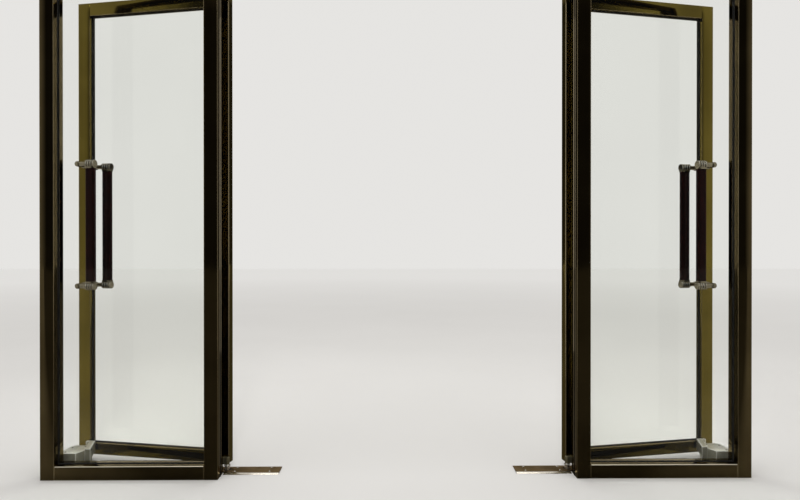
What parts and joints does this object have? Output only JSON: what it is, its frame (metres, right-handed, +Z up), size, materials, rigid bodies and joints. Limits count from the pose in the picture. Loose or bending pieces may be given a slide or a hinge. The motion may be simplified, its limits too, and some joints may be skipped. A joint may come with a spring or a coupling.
{
  "type": "glazed entrance screen with pivot-hung double doors",
  "caption": "Glazed metal entrance screen: a pair of framed glass doors on floor and head pivots, folded back between fixed sidelights, with offset pull handles.",
  "frame": {"origin": "middle of the foot of the left door post, on the floor line, half way through the frame's depth", "axes": "+X runs along the screen to the right, +Y runs inwards, the way the doors open, +Z is up"},
  "size_m": [3.384, 0.4034, 2.466],
  "materials": {
    "frame_bronze": "polished dark bronze",
    "door_bronze": "polished dark bronze",
    "pane": "clear float glass, faint green",
    "gasket": "black glazing rubber",
    "seal": "black brush seal",
    "floor_plate": "satin stainless",
    "pin_steel": "bright polished",
    "holder_cast": "satin grey casting",
    "shoe_cast": "satin olive bronze",
    "grip_leather": "dark oxblood, satin",
    "pull_metal": "polished nickel"
  },
  "bodies": {
    "frame": {"left_jamb": "frame_bronze", "left_post": "frame_bronze", "left_head_rail": "frame_bronze", "left_sill": "frame_bronze", "left_sidelight_glass": "pane", "left_sidelight_gasket": "gasket", "left_post_seal": "seal", "left_floor_pivot": "floor_plate", "left_pivot_arm": "frame_bronze", "left_pivot_pin": "pin_steel", "left_door_holder": "holder_cast", "right_jamb": "frame_bronze", "right_post": "frame_bronze", "right_head_rail": "frame_bronze", "right_sill": "frame_bronze", "right_sidelight_glass": "pane", "right_sidelight_gasket": "gasket", "right_post_seal": "seal", "right_floor_pivot": "floor_plate", "right_pivot_arm": "frame_bronze", "right_pivot_pin": "pin_steel", "right_door_holder": "holder_cast", "middle_head_rail": "frame_bronze", "stop_block": "frame_bronze", "stop_plate": "pin_steel"},
    "left_door": {"left_heel_stile": "door_bronze", "left_lead_stile": "door_bronze", "left_top_rail": "door_bronze", "left_bottom_rail": "door_bronze", "left_door_glass": "pane", "left_door_gasket": "gasket", "left_inner_grip": "grip_leather", "left_outer_grip": "grip_leather", "left_pull_arms": "pull_metal", "left_pivot_shoes": "shoe_cast", "left_meeting_seal": "seal"},
    "right_door": {"right_heel_stile": "door_bronze", "right_lead_stile": "door_bronze", "right_top_rail": "door_bronze", "right_bottom_rail": "door_bronze", "right_door_glass": "pane", "right_door_gasket": "gasket", "right_inner_grip": "grip_leather", "right_outer_grip": "grip_leather", "right_pull_arms": "pull_metal", "right_pivot_shoes": "shoe_cast", "right_meeting_seal": "seal"}
  },
  "joints": [
    {"name": "left_door_swing", "type": "hinge", "parent": "frame", "child": "left_door", "pos_m": [0.044, 0.084, 0], "axis": [0, 0, 1], "range_deg": [-168.5, 0]},
    {"name": "right_door_swing", "type": "hinge", "parent": "frame", "child": "right_door", "pos_m": [1.73, 0.084, 0], "axis": [0, 0, -1], "range_deg": [-168.5, 0]}
  ]
}
